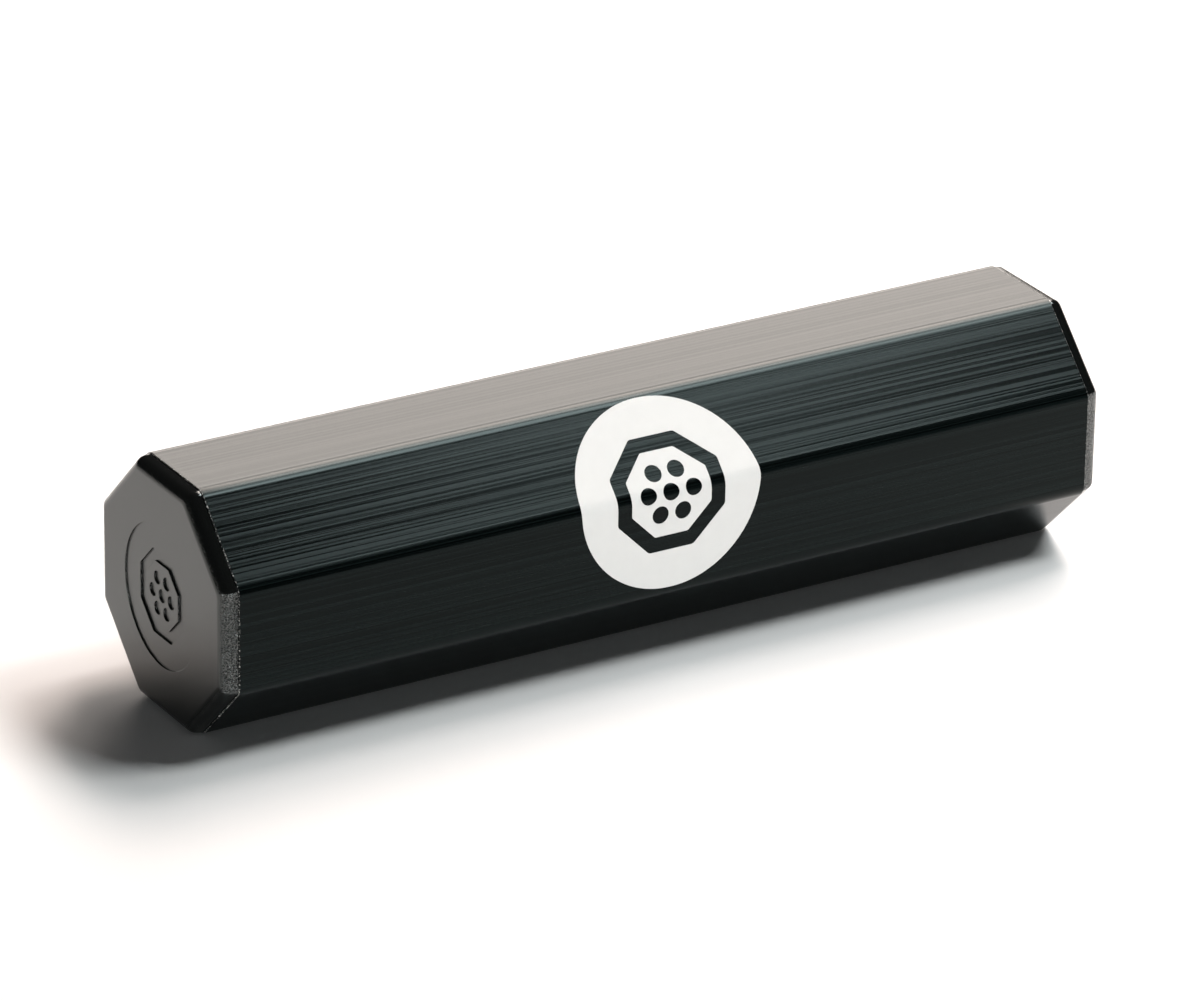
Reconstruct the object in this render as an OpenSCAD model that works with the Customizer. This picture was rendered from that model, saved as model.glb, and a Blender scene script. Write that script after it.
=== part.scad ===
// A ganza shaker: an octagonal aluminium tube with two moulded end caps, part filled with steel shot.
// The tube lies on one of its eight flats along X. The floor is Z = 0, and Y runs to the back.

/* [Tube] */
// Width of the tube over two opposite flats
tube_flats = 51; // [46:0.5:60]
// Length of the tube between its cut ends
tube_length = 192; // [170:1:260]
// Thickness of the tube's wall
wall = 2; // [1.5:0.1:3]
// Radius on the eight long outer edges
edge_radius = 4; // [1:0.1:5]

/* [End caps] */
// Thickness of the cap's plate outside the tube
plate = 3.25; // [2.5:0.05:5]
// How far the plate's sides stand back from the tube's flats
plate_step = 0.3; // [0.2:0.05:1]
// Radius on the plate's eight short corners
plate_corner = 1.6; // [0.8:0.1:3]
// Radius round the plate's outer face, cut as narrow flats that touch it
plate_round = 2.5; // [1:0.1:3]
// Depth of the plug inside the tube
plug_depth = 14; // [8:0.5:20]
// Thickness of the plug's skirt
skirt = 2; // [1.5:0.1:3]
// Gap between the skirt and the tube, which the crush ribs bridge
skirt_gap = 0.25; // [0.1:0.05:0.4]
// Width of one crush rib
rib_width = 1.2; // [0.8:0.1:2]
// Radius of the sunk round panel on the cap's face
panel_radius = 14.6; // [10:0.1:18]
// Depth of the sunk panel
panel_depth = 0.3; // [0.1:0.05:0.6]
// Depth of the mark below the panel
mark_depth = 0.4; // [0.2:0.05:0.8]

/* [Print] */
// Diameter of the printed disc, measured round the edge that it is wrapped over
print_diameter = 40.4; // [30:0.1:41]
// Middle of the disc along the tube
print_x = -1.2; // [-40:0.1:40]
// Thickness of the ink
ink = 0.06; // [0.04:0.01:0.2]

/* [Shot] */
// Diameter of one steel ball
shot_diameter = 4.5; // [3.5:0.1:4.8]
// Gap left between neighbouring balls
shot_gap = 0.2; // [0.1:0.05:0.4]
// Balls in one row along the floor
row_count = 24; // [12:1:28]
// Gap left between a ball and the wall it lies on
rest_gap = 0.1; // [0.05:0.05:0.2]

/* [Hidden] */
axis_z = tube_flats / 2;
half_turn = 22.5;
edge_steps = 6;
plate_cuts = 3;
round_fn = 96;
ball_fn = 24;
bore_flats = tube_flats - 2 * wall;
bore_radius = max(edge_radius - wall, 0.5);
plate_flats = tube_flats - 2 * plate_step;
skirt_flats = bore_flats - 2 * skirt_gap;
hollow_flats = skirt_flats - 2 * skirt;
hollow_radius = 1;
flat_half = tube_flats / 2 * tan(half_turn);
skirt_flat_half = skirt_flats / 2 * tan(half_turn);
rib_length = plug_depth - 3;
rib_place = skirt_flat_half / 2;
shot_pitch = shot_diameter + shot_gap;
// Distance from the tube's axis to the middle of a ball that lies on a wall
lie = bore_flats / 2 - shot_diameter / 2 - rest_gap;
floor_y = 1.5 * shot_pitch;
// A ball on the slope lies against the wall and against the outer floor row
slope_miss = floor_y + lie - lie * sqrt(2);
slope_y = floor_y + (sqrt(2 * pow(shot_pitch, 2) - pow(slope_miss, 2)) - slope_miss) / 2;
slope_z = slope_y - lie * sqrt(2);
// A crest ball sits in the pocket between four floor balls
crest_rise = sqrt(pow(shot_diameter + 0.1, 2) - pow(shot_pitch, 2) / 2);

// A regular octagon with rounded corners, flat side down, as points round its middle
function octagon(flats, radius) = [
    for (k = [0 : 7], i = [0 : edge_steps])
        let (
            corner = 45 * k + half_turn,
            reach = (flats / 2 - radius) / cos(half_turn),
            turn = 45 * (k + i / edge_steps)
        )
        [reach * cos(corner) + radius * cos(turn), reach * sin(corner) + radius * sin(turn)]
];

// Stands a section drawn in the YZ plane along the tube's axis, from x0 to x1
module along(x0, x1) {
    translate([x0, 0, axis_z]) rotate([90, 0, 90]) linear_extrude(x1 - x0) children();
}

// Lays a drawing on one flat: its x runs along the tube, its y up the flat and its z outwards
module on_flat(turn) {
    translate([0, 0, axis_z]) rotate([turn, 0, 0]) children();
}

// The mark: an octagonal ring with seven round dots inside, for a disc of the given diameter
module mark(size) {
    ring = size * 0.6;
    difference() {
        polygon(octagon(ring, ring * 0.05));
        polygon(octagon(ring * 0.74, ring * 0.03));
    }
    circle(d = ring * 0.15, $fn = 48);
    for (k = [0 : 5]) rotate(60 * k) translate([ring * 0.21, 0]) circle(d = ring * 0.15, $fn = 48);
}

module tube() color("#232625") {
    along(-tube_length / 2, tube_length / 2) difference() {
        polygon(octagon(tube_flats, edge_radius));
        polygon(octagon(bore_flats, bore_radius));
    }
}

// One cap, drawn with its plate outwards along +X and the tube's cut end at x = 0
module cap() {
    difference() {
        along(0, plate) polygon(octagon(plate_flats, plate_corner));
        for (k = [0 : 7], i = [1 : plate_cuts]) on_flat(45 * k)
            translate([plate - plate_round, 0, plate_flats / 2 - plate_round])
                rotate([0, 90 * i / (plate_cuts + 1), 0])
                    translate([-plate_round, -plate_flats / 2, plate_round])
                        cube([2 * plate_round, plate_flats, plate_round]);
        translate([plate - panel_depth, 0, axis_z]) rotate([0, 90, 0])
            cylinder(r = panel_radius, h = 2 * panel_depth, $fn = round_fn);
        along(plate - panel_depth - mark_depth, plate) mark(panel_radius * 2);
    }
    along(-plug_depth, 0) difference() {
        polygon(octagon(skirt_flats, bore_radius));
        polygon(octagon(hollow_flats, hollow_radius));
    }
    for (k = [0 : 7], side = [-1, 1]) on_flat(45 * k)
        translate([-rib_length, side * rib_place - rib_width / 2, bore_flats / 2 - skirt_gap - skirt / 2])
            cube([rib_length, rib_width, skirt_gap + skirt / 2]);
}

module near_cap() color("#34353a") {
    translate([-tube_length / 2, 0, 0]) mirror([1, 0, 0]) cap();
}

module far_cap() color("#34353a") {
    translate([tube_length / 2, 0, 0]) cap();
}

// The part of the disc that lies on one flat. Side is 1 for the flat above the edge and -1 for the one below.
module print_half(turn, side) {
    on_flat(turn) translate([print_x, -side * flat_half, flat_half]) linear_extrude(flat_half * 2)
        intersection() {
            difference() {
                circle(d = print_diameter, $fn = round_fn);
                mark(print_diameter);
            }
            translate([-print_diameter, side > 0 ? 0 : -print_diameter])
                square([2 * print_diameter, print_diameter]);
        }
}

module print_disc() color("#f2f2ef") {
    intersection() {
        along(print_x - print_diameter, print_x + print_diameter) difference() {
            polygon(octagon(tube_flats + 2 * ink, edge_radius + ink));
            polygon(octagon(tube_flats, edge_radius));
        }
        union() {
            print_half(45, 1);
            print_half(90, -1);
        }
    }
}

// One row of loose balls at a place in the tube's section, its middle at x = 0
module shot_row(y, z, count) color("#c9ccd0") {
    for (i = [0 : count - 1])
        translate([(i - (count - 1) / 2) * shot_pitch, y, axis_z + z])
            sphere(d = shot_diameter, $fn = ball_fn);
}

module floor_row(k) {
    shot_row((k - 2.5) * shot_pitch, -lie, row_count);
}

module slope_row(side) {
    shot_row(side * slope_y, slope_z, row_count);
}

module crest_row(k) {
    shot_row((k - 2) * shot_pitch, crest_rise - lie, row_count - 1);
}

tube();
near_cap();
far_cap();
print_disc();
floor_row(1);  // shot_floor_1
floor_row(2);  // shot_floor_2
floor_row(3);  // shot_floor_3
floor_row(4);  // shot_floor_4
slope_row(-1);  // shot_slope_front
slope_row(1);  // shot_slope_back
crest_row(1);  // shot_crest_1
crest_row(2);  // shot_crest_2
crest_row(3);  // shot_crest_3
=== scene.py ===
# Finishes and fine shapes of a ganza shaker, made in metres round its packed construction.
import math

import bmesh
import bpy
from mathutils import Matrix, Vector


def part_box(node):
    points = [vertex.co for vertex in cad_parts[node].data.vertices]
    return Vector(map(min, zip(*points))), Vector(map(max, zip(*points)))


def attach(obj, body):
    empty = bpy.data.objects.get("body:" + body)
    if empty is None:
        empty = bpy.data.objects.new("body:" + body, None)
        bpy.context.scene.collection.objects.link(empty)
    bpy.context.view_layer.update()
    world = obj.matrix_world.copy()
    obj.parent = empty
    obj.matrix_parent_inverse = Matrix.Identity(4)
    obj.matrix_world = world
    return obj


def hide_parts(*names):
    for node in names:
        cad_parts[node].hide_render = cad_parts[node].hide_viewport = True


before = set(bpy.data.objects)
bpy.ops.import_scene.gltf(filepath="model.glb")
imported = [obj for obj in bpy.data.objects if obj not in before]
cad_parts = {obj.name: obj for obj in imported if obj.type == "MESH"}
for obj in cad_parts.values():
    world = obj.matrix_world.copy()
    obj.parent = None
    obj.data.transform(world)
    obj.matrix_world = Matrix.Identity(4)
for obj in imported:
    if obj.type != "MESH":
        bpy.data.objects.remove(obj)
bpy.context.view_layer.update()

# The camera. It stands well back to the near left of the shaker and looks down at it along a long lens,
# so that the near cap, the top flat and three flats of the front show, as in the photograph.
PHOTO_WIDTH = 1200       # pixels
FOCAL_LENGTH = 7386      # pixels of the photograph
SENSOR = 36.0            # millimetres
VIEW_AZIMUTH = math.radians(-31.188)
VIEW_ELEVATION = math.radians(24.364)
VIEW_ROLL = math.radians(0.945)
VIEW_DISTANCE = 1.4499
VIEW_OFFSET_RIGHT = 0.00175
VIEW_OFFSET_UP = 0.00146

scene = bpy.context.scene
tube_low, tube_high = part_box("tube")
AXIS_HEIGHT = (tube_low.z + tube_high.z) / 2

back = Vector((
    math.sin(VIEW_AZIMUTH) * math.cos(VIEW_ELEVATION),
    -math.cos(VIEW_AZIMUTH) * math.cos(VIEW_ELEVATION),
    math.sin(VIEW_ELEVATION),
))
level_right = Vector((math.cos(VIEW_AZIMUTH), math.sin(VIEW_AZIMUTH), 0))
level_up = back.cross(level_right)
right = math.cos(VIEW_ROLL) * level_right + math.sin(VIEW_ROLL) * level_up
up = -math.sin(VIEW_ROLL) * level_right + math.cos(VIEW_ROLL) * level_up
station = (Vector((0, 0, AXIS_HEIGHT)) + VIEW_DISTANCE * back
           - VIEW_OFFSET_RIGHT * right - VIEW_OFFSET_UP * up)

camera_data = bpy.data.cameras.new("photo_camera")
camera_data.sensor_width = SENSOR
camera_data.lens = FOCAL_LENGTH / PHOTO_WIDTH * SENSOR
camera = bpy.data.objects.new("photo_camera", camera_data)
scene.collection.objects.link(camera)
camera_turn = Matrix((right, up, back)).transposed().to_4x4()
camera.matrix_world = Matrix.Translation(station) @ camera_turn
scene.camera = camera

# The studio. The shaker lies on a wide white table in a dim room. A large soft box stands low behind it, and
# the top flat mirrors it. Four smaller ones hang in an arc above, and a low one in front lights the print.
WALL_LIGHT = 0.03
CEILING_LIGHT = 0.05
TABLE_HALF = 4.0
TABLE_COLOUR = (0.93, 0.93, 0.93, 1)
scene.view_settings.view_transform = "Standard"


def start_finish(name):
    """A new material, its node tree and its shader."""
    material = bpy.data.materials.new(name)
    material.use_nodes = True
    return material, material.node_tree, material.node_tree.nodes["Principled BSDF"]


def feed(tree, node, inputs):
    """Sets a node's inputs by name or number. A value is a number, a colour or the output of another node."""
    for key, value in inputs.items():
        if isinstance(value, bpy.types.NodeSocket):
            tree.links.new(value, node.inputs[key])
        else:
            node.inputs[key].default_value = value


def add(tree, kind, inputs=(), **settings):
    """A new node."""
    made = tree.nodes.new(kind)
    for key, value in settings.items():
        setattr(made, key, value)
    feed(tree, made, dict(inputs))
    return made


def ramp(tree, value, start, end, low=0.0, high=1.0):
    """A number that goes from low to high as the value goes from start to end, and is level past them."""
    return add(tree, "ShaderNodeMapRange", {
        "Value": value, "From Min": start, "From Max": end, "To Min": low, "To Max": high}).outputs[0]


def link_mesh(name, mesh):
    """A new object for a mesh, in the scene."""
    piece = bpy.data.objects.new(name, mesh)
    scene.collection.objects.link(piece)
    return piece


world = bpy.data.worlds.new("pale_room")
scene.world = world
world.use_nodes = True
direction = add(world.node_tree, "ShaderNodeTexCoord").outputs["Generated"]
rise = add(world.node_tree, "ShaderNodeSeparateXYZ", {"Vector": direction})
glow = ramp(world.node_tree, rise.outputs["Z"], 0.0, 1.0, WALL_LIGHT, CEILING_LIGHT)
background = world.node_tree.nodes["Background"]
feed(world.node_tree, background, {"Color": (1, 1, 1, 1), "Strength": glow})

table_mesh = bpy.data.meshes.new("table")
table_mesh.from_pydata(
    [(-TABLE_HALF, -TABLE_HALF, 0), (TABLE_HALF, -TABLE_HALF, 0),
     (TABLE_HALF, TABLE_HALF, 0), (-TABLE_HALF, TABLE_HALF, 0)],
    [], [(0, 1, 2, 3)])
table = link_mesh("table", table_mesh)
table_finish, tree, shader = start_finish("white_table")
feed(tree, shader, {"Base Color": TABLE_COLOUR, "Roughness": 0.8, "Specular IOR Level": 0.2})
table_mesh.materials.append(table_finish)


def soft_box(name, along, turn, distance, length, height, brightness, colour, shape="RECTANGLE"):
    """A soft box parallel to the tube, turned from straight above: degrees forward, or back where negative.

    Along is the place of its middle along the tube. A brightness of 1 shows as full white.
    """
    light = bpy.data.lights.new(name, "AREA")
    light.shape = shape
    light.size = length
    light.size_y = height
    area = length * height * (math.pi / 4 if shape == "ELLIPSE" else 1)
    light.energy = brightness * math.pi * area
    light.color = colour
    lamp = bpy.data.objects.new(name, light)
    scene.collection.objects.link(lamp)
    tilt = math.radians(turn)
    lamp.location = (along, -distance * math.sin(tilt), AXIS_HEIGHT + distance * math.cos(tilt))
    lamp.rotation_euler = (tilt, 0, 0)


# Each has its name, place along, turn, distance, length, height, brightness and colour
soft_box("back_box", 0.84, -61, 1.4, 0.76, 1.05, 5.7, (1.0, 0.91, 0.845))
soft_box("high_back_box", 0.665, -29, 1.2, 0.42, 0.51, 20.0, (1.0, 0.86, 0.79))
soft_box("main_box", 0.655, -8.6, 1.2, 0.40, 0.29, 25.0, (1.0, 0.92, 0.88))
soft_box("overhead_box", 0.69, 4, 1.2, 0.47, 0.20, 8.0, (0.94, 1.0, 1.0))
soft_box("streak_box", 0.67, 16.6, 1.2, 0.56, 0.38, 21.0, (0.96, 1.0, 1.0), "ELLIPSE")
soft_box("low_front_box", -0.35, 89.2, 1.4, 0.50, 0.08, 70.0, (0.96, 1.0, 1.0))

# The tube. An octagonal aluminium extrusion, sawn to length, lightly deburred and then anodised black. Its
# die leaves lines along the whole length of each flat, and its long edges are rounded, with a faint raised
# lip where each flat meets them.
ACROSS = tube_high.z - tube_low.z
HALF_LENGTH = tube_high.x
WALL = 0.002
EDGE_LIP = (0.02, -1.5)      # each lip, edge and corner has a radius in metres and a turn in degrees
EDGE_ROUND = (0.0037, 24)
BORE_EDGE = (0.002, 22.5)
EDGE_STEPS = 12
DEBURR = 0.0002
EIGHTH_TURN = math.pi / 4


def turned(points, angle):
    """Points (y, z) turned round the tube's axis."""
    cosine = math.cos(angle)
    sine = math.sin(angle)
    return [(y * cosine - z * sine, y * sine + z * cosine) for y, z in points]


def octagon(across, arcs, steps):
    """Points (y, z) of an octagon round the tube's axis, one flat down.

    Its corners are rounded by arcs, each a radius and a turn in degrees, from a flat to a corner's middle.
    """
    run = [(0.0, 0.0)]
    bend = 0.0
    for radius, degrees in arcs:
        step = math.radians(degrees) / steps
        chord = 2 * radius * abs(math.sin(step / 2))
        for _ in range(steps):
            bend += step / 2
            along, inward = run[-1]
            run.append((along + chord * math.cos(bend), inward + chord * math.sin(bend)))
            bend += step / 2
    along, inward = run[-1]
    slope = math.tan(EIGHTH_TURN / 2)
    start = across / 2 * slope - along - inward * slope
    half = [(across / 2 - inward, start + along) for along, inward in run]
    diagonal = math.cos(EIGHTH_TURN)
    corner = half + [((y + z) * diagonal, (y - z) * diagonal) for y, z in reversed(half[:-1])]
    points = []
    for k in range(8):
        points.extend(turned(corner, EIGHTH_TURN * k))
    return points


def build(name, skins, closed=False):
    """A mesh of skins, each over sections of equal count. A section is x, and points (y, z) round the axis.

    A closed skin joins its last section to its first. An open one has both ends filled.
    """
    shape = bmesh.new()
    for sections in skins:
        rings = [[shape.verts.new((x, y, z + AXIS_HEIGHT)) for y, z in points] for x, points in sections]
        pairs = list(zip(rings, rings[1:]))
        if closed:
            pairs.append((rings[-1], rings[0]))
        for a, b in pairs:
            for i in range(len(a)):
                j = (i + 1) % len(a)
                shape.faces.new((a[i], a[j], b[j], b[i]))
        if not closed:
            shape.faces.new(rings[0])
            shape.faces.new(reversed(rings[-1]))
    bmesh.ops.recalc_face_normals(shape, faces=shape.faces)
    mesh = bpy.data.meshes.new(name)
    shape.to_mesh(mesh)
    shape.free()
    return mesh


def shade(piece):
    """Smooth shading that keeps large flats flat."""
    piece.data.shade_smooth()
    weighted = piece.modifiers.new("flats", "WEIGHTED_NORMAL")
    weighted.weight = 100


def calculate(tree, operation, *values):
    """The result of an operation on numbers."""
    return add(tree, "ShaderNodeMath", enumerate(values), operation=operation).outputs[0]


def blend(tree, factor, first, second):
    """A colour between two."""
    return add(tree, "ShaderNodeMix", {
        "Factor": factor, 6: (*first, 1), 7: (*second, 1)}, data_type="RGBA").outputs[2]


def noise(tree, place, scale, detail, roughness=0.5):
    """Numbers that wander between 0 and 1, with about as many bumps to a metre as the scale says."""
    return add(tree, "ShaderNodeTexNoise", {
        "Vector": place, "Scale": scale, "Detail": detail, "Roughness": roughness}).outputs["Fac"]


def die_lines(tree, place, along, across):
    """Noise drawn out along the tube, by its scales along it and across it."""
    stretched = add(tree, "ShaderNodeMapping", {"Vector": place, "Scale": (along, across, across)})
    return noise(tree, stretched.outputs["Vector"], 1.0, 1.0, 0.6)


outside = octagon(ACROSS, [EDGE_LIP, EDGE_ROUND], EDGE_STEPS)
deburred = octagon(ACROSS - 2 * DEBURR, [EDGE_LIP, EDGE_ROUND], EDGE_STEPS)
bore = octagon(ACROSS - 2 * WALL, [BORE_EDGE], 2 * EDGE_STEPS)
tube_mesh = build("brushed_tube", [[
    (-HALF_LENGTH, deburred),
    (-HALF_LENGTH + DEBURR, outside),
    (HALF_LENGTH - DEBURR, outside),
    (HALF_LENGTH, deburred),
    (HALF_LENGTH, bore),
    (-HALF_LENGTH, bore),
]], closed=True)
tube = link_mesh("brushed_tube", tube_mesh)
shade(tube)

anodised, tree, shader = start_finish("black_anodised")
surface = add(tree, "ShaderNodeTexCoord")
broad = die_lines(tree, surface.outputs["Object"], 1.5, 1200)
medium = die_lines(tree, surface.outputs["Object"], 2.5, 3000)
fine = die_lines(tree, surface.outputs["Object"], 6, 7000)
coarse = calculate(tree, "ADD", broad, medium)
every = calculate(tree, "ADD", coarse, fine)

# 1 on the flats and 0 on the rounded edges, by the way that the surface faces round the axis
facing = add(tree, "ShaderNodeSeparateXYZ", {"Vector": surface.outputs["Normal"]})
around = calculate(tree, "ARCTAN2", facing.outputs["Y"], facing.outputs["Z"])
eightfold = calculate(tree, "MULTIPLY", around, 8.0)
on_flat = ramp(tree, calculate(tree, "COSINE", eightfold), 0.3, 0.95)

# The broader lines tip the flats a little to either side
lean = ramp(tree, coarse, 0.88, 1.12, -0.009, 0.009)
flat_lean = calculate(tree, "MULTIPLY", lean, on_flat)
round_axis = add(tree, "ShaderNodeTangent", direction_type="RADIAL", axis="X").outputs[0]
sideways = add(tree, "ShaderNodeVectorMath", {
    0: round_axis, "Scale": flat_lean}, operation="SCALE").outputs[0]
smooth = add(tree, "ShaderNodeNewGeometry").outputs["Normal"]
tipped = add(tree, "ShaderNodeVectorMath", {0: smooth, 1: sideways}, operation="ADD").outputs[0]
normal = add(tree, "ShaderNodeVectorMath", {0: tipped}, operation="NORMALIZE").outputs[0]

# All the lines together make some streaks duller and paler than others
dull = ramp(tree, every, 1.36, 1.64)
polish = ramp(tree, dull, 0.0, 1.0, 0.07, 0.2)
roughness = add(tree, "ShaderNodeMix", {"Factor": on_flat, 2: 0.12, 3: polish}).outputs[0]
colour = blend(tree, dull, (0.0001, 0.0005, 0.0005), (0.0030, 0.0050, 0.0050))
feed(tree, shader, {
    "Base Color": colour,
    "Roughness": roughness,
    "Normal": normal,
    "Tangent": round_axis,
    "IOR": 1.25,
    "Specular Tint": (0.55, 0.69, 0.69, 1),
    "Anisotropic": 0.9,
})
tube_mesh.materials.append(anodised)

# Specks of bare metal show on the deburred edges, whose faces lean both outwards and endwise
sawn, tree, shader = start_finish("sawn_edge")
place = add(tree, "ShaderNodeTexCoord").outputs["Object"]
bare = ramp(tree, noise(tree, place, 3200.0, 1.0), 0.55, 0.65)
metal = blend(tree, bare, (0.002, 0.003, 0.003), (0.5, 0.5, 0.48))
feed(tree, shader, {"Base Color": metal, "Roughness": 0.4, "IOR": 1.25})
tube_mesh.materials.append(sawn)
for face in tube_mesh.polygons:
    if 0.1 < abs(face.normal.x) < 0.9:
        face.material_index = 1
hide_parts("tube")
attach(tube, "casing")

# The end caps. Two like mouldings in black plastic: an octagonal plate over the tube's cut end, with a round
# panel and a mark sunk in its face, and a hollow plug behind it that sixteen crush ribs hold in the tube.
far_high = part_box("far_cap")[1]
PLATE = far_high.x - HALF_LENGTH
PLATE_STEP = 0.0003
PLATE_ACROSS = ACROSS - 2 * PLATE_STEP
PLATE_CORNER = (0.0016, 22.5)
PLATE_DRAFT = math.radians(10)
PLATE_ROUND = 0.00235
ROUND_STEPS = 12
MOULD_EDGE = 0.00008
PLUG_DEPTH = 0.014
SKIRT = 0.002
SKIRT_GAP = 0.00025
SKIRT_ACROSS = ACROSS - 2 * WALL - 2 * SKIRT_GAP
HOLLOW_ACROSS = SKIRT_ACROSS - 2 * SKIRT
HOLLOW_CORNER = (0.001, 22.5)
RIB_LENGTH = 0.011
RIB_WIDTH = 0.0012
RIB_OVERLAP = 0.0001
RIB_PLACE = SKIRT_ACROSS / 4 * math.tan(EIGHTH_TURN / 2)
PANEL_RADIUS = 0.0146
PANEL_DEPTH = 0.0003
PANEL_STEPS = 96
MARK_DEPTH = 0.0004
RING_ACROSS = 0.6 * 2 * PANEL_RADIUS
RING_CORNER = (RING_ACROSS * 0.05, 22.5)
ISLAND_ACROSS = RING_ACROSS * 0.74
ISLAND_CORNER = (RING_ACROSS * 0.03, 22.5)
MARK_STEPS = 2
DOT_RADIUS = RING_ACROSS * 0.15 / 2
DOT_PLACE = RING_ACROSS * 0.21
DOT_STEPS = 32

moulded, tree, shader = start_finish("moulded_plastic")
surface = add(tree, "ShaderNodeTexCoord")
place = surface.outputs["Object"]

# The plate's front and back sides are coarsely grained, and their pits are painted pale grey, a painted
# reflection that lightens these two sides; its other sides are bright, and its face is satin
facing = add(tree, "ShaderNodeSeparateXYZ", {"Vector": surface.outputs["Normal"]})
on_side = ramp(tree, calculate(tree, "ABSOLUTE", facing.outputs["X"]), 0.95, 0.75)
upright = ramp(tree, calculate(tree, "ABSOLUTE", facing.outputs["Z"]), 0.5, 0.2)
# The front and back sides: there the grain is cut, and there the pale painted reflection goes
grain_and_sheen_sides = calculate(tree, "MULTIPLY", on_side, upright)
grain = noise(tree, place, 5000.0, 2.0)
satin = add(tree, "ShaderNodeBump", {"Height": grain, "Strength": 0.3, "Distance": 0.00005}).outputs[0]
pits = noise(tree, place, 2800.0, 1.0)
eroded = add(tree, "ShaderNodeBump", {
    "Height": pits, "Strength": grain_and_sheen_sides, "Distance": 0.0006, "Normal": satin}).outputs[0]
# Painted reflection: pale specks that follow the grain, on the front and back sides only, so that these sides
# read lighter than the rest
pale_grain_and_painted_sheen = calculate(tree, "MULTIPLY", ramp(tree, pits, 0.42, 0.6), grain_and_sheen_sides)
feed(tree, shader, {
    "Base Color": blend(tree, pale_grain_and_painted_sheen, (0.0015, 0.0018, 0.0017), (0.08, 0.08, 0.078)),
    "Roughness": ramp(tree, on_side, 0.0, 1.0, 0.3, 0.12),
    "Normal": eroded,
    "IOR": 1.66,
    "Specular Tint": (0.86, 0.93, 0.92, 1),
})


def circle(radius, steps, y=0.0, z=0.0):
    """Points (y, z) of a circle."""
    angles = [2 * math.pi * i / steps for i in range(steps)]
    return [(y + radius * math.cos(angle), z + radius * math.sin(angle)) for angle in angles]


def rib(turn, offset):
    """Points (y, z) of one crush rib, on the flat that faces a turn round the axis."""
    low = SKIRT_ACROSS / 2 - SKIRT / 2
    high = ACROSS / 2 - WALL
    start = offset - RIB_WIDTH / 2
    end = offset + RIB_WIDTH / 2
    return turned([(low, start), (high, start), (high, end), (low, end)], turn)


def carve(piece, name, outlines, start, end, operation):
    """Cuts prisms along the tube from a piece, or joins them to it, from one x to another."""
    cutter = link_mesh(name, build(name, [[(start, outline), (end, outline)] for outline in outlines]))
    step = piece.modifiers.new(name, "BOOLEAN")
    step.object = cutter
    step.operation = operation
    step.solver = "EXACT"
    bpy.context.view_layer.update()
    evaluated = piece.evaluated_get(bpy.context.evaluated_depsgraph_get())
    carved = bpy.data.meshes.new_from_object(evaluated)
    piece.modifiers.clear()
    piece.data = carved
    bpy.data.objects.remove(cutter)


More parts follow.
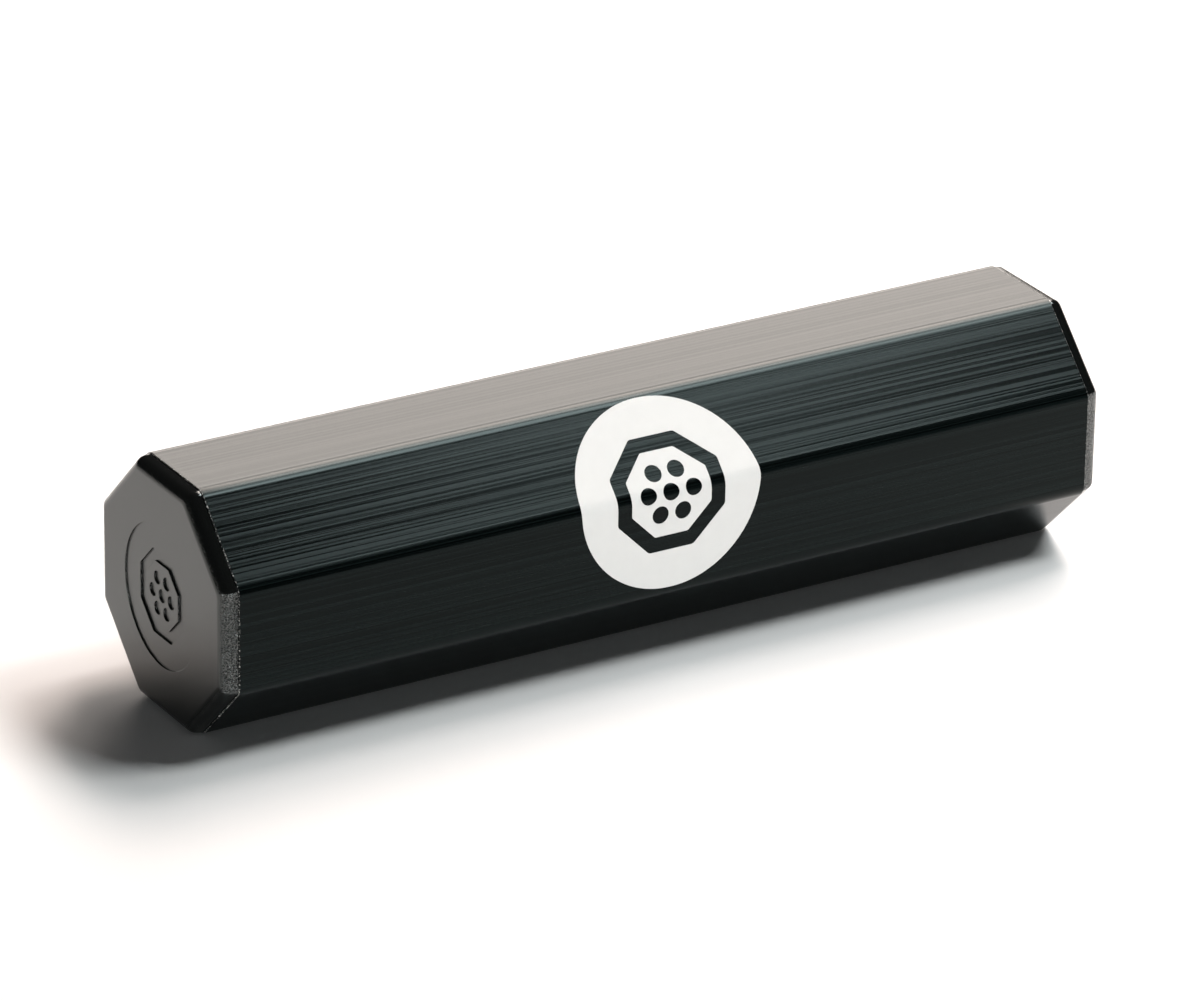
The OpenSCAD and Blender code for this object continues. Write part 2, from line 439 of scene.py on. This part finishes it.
def make_cap(name, node, side):
    """One cap. Side is -1 for the near end and 1 for the far end."""
    def section(x, across, corner):
        return side * (HALF_LENGTH + x), octagon(across, [corner], EDGE_STEPS)

    sections = [
        section(0, HOLLOW_ACROSS, HOLLOW_CORNER),
        section(-PLUG_DEPTH, HOLLOW_ACROSS, HOLLOW_CORNER),
        section(-PLUG_DEPTH, SKIRT_ACROSS, BORE_EDGE),
        section(0, SKIRT_ACROSS, BORE_EDGE),
        section(0, PLATE_ACROSS, PLATE_CORNER),
    ]
    drafted = PLATE - PLATE_ROUND * (1 - math.sin(PLATE_DRAFT))
    for i in range(ROUND_STEPS + 1):
        bend = PLATE_DRAFT + (math.pi / 2 - PLATE_DRAFT) * i / ROUND_STEPS
        inset = drafted * math.tan(PLATE_DRAFT) + PLATE_ROUND * (math.cos(PLATE_DRAFT) - math.cos(bend))
        reach = PLATE - PLATE_ROUND * (1 - math.sin(bend))
        sections.append(section(reach, PLATE_ACROSS - 2 * inset, PLATE_CORNER))
    cap = link_mesh(name, build(name, [sections]))

    outer = side * (HALF_LENGTH + PLATE)
    sunk = outer - side * PANEL_DEPTH
    above = sunk + side * PANEL_DEPTH / 2
    below = sunk - side * MARK_DEPTH
    panel = circle(PANEL_RADIUS, PANEL_STEPS)
    ring = octagon(RING_ACROSS, [RING_CORNER], MARK_STEPS)
    island = octagon(ISLAND_ACROSS, [ISLAND_CORNER], MARK_STEPS)
    dots = [circle(DOT_RADIUS, DOT_STEPS)]
    for k in range(6):
        angle = math.radians(60 * k)
        dots.append(circle(DOT_RADIUS, DOT_STEPS, DOT_PLACE * math.cos(angle), DOT_PLACE * math.sin(angle)))
    carve(cap, "panel", [panel], outer + side * PANEL_DEPTH, sunk, "DIFFERENCE")
    carve(cap, "ring", [ring], above, below, "DIFFERENCE")
    carve(cap, "island", [island], sunk, below - side * PANEL_DEPTH, "UNION")
    carve(cap, "dots", dots, above, below, "DIFFERENCE")

    ribs = []
    for k in range(8):
        for across in (-1, 1):
            ribs.append(rib(EIGHTH_TURN * k, across * RIB_PLACE))
    carve(cap, "ribs", ribs, side * (HALF_LENGTH + RIB_OVERLAP), side * (HALF_LENGTH - RIB_LENGTH), "UNION")

    soften = cap.modifiers.new("mould_edges", "BEVEL")
    soften.width = MOULD_EDGE
    soften.segments = 2
    soften.angle_limit = math.radians(40)
    shade(cap)
    cap.data.materials.append(moulded)
    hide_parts(node)
    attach(cap, "casing")


make_cap("near_end_cap", "near_cap", -1)
make_cap("far_end_cap", "far_cap", 1)

# The print. A round patch of white ink with an open ring and seven dots in it, screen printed over the edge
# between the front flat and the one above it. It keeps the construction's mesh.
ink, tree, shader = start_finish("white_ink")
place = add(tree, "ShaderNodeTexCoord").outputs["Object"]
white = blend(tree, noise(tree, place, 350.0, 3.0), (0.68, 0.68, 0.67), (0.72, 0.72, 0.71))
feed(tree, shader, {"Base Color": white, "Roughness": 0.6, "Specular IOR Level": 0.3})


def refinish(node, material):
    """Puts a finish on a piece that keeps the construction's mesh."""
    node.data.materials.clear()
    node.data.materials.append(material)


refinish(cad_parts["print_disc"], ink)

# The shot. Some two hundred polished steel balls, poured into the tube before its last cap went on, and loose
# in there to strike its walls. They keep the construction's meshes.
steel, tree, shader = start_finish("polished_steel")
place = add(tree, "ShaderNodeTexCoord").outputs["Object"]
scuffed = ramp(tree, noise(tree, place, 2500.0, 4.0), 0.4, 0.7, 0.12, 0.3)
feed(tree, shader, {"Base Color": (0.62, 0.63, 0.64, 1), "Roughness": scuffed, "Metallic": 1.0})
for name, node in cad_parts.items():
    if name.startswith("shot_"):
        refinish(node, steel)
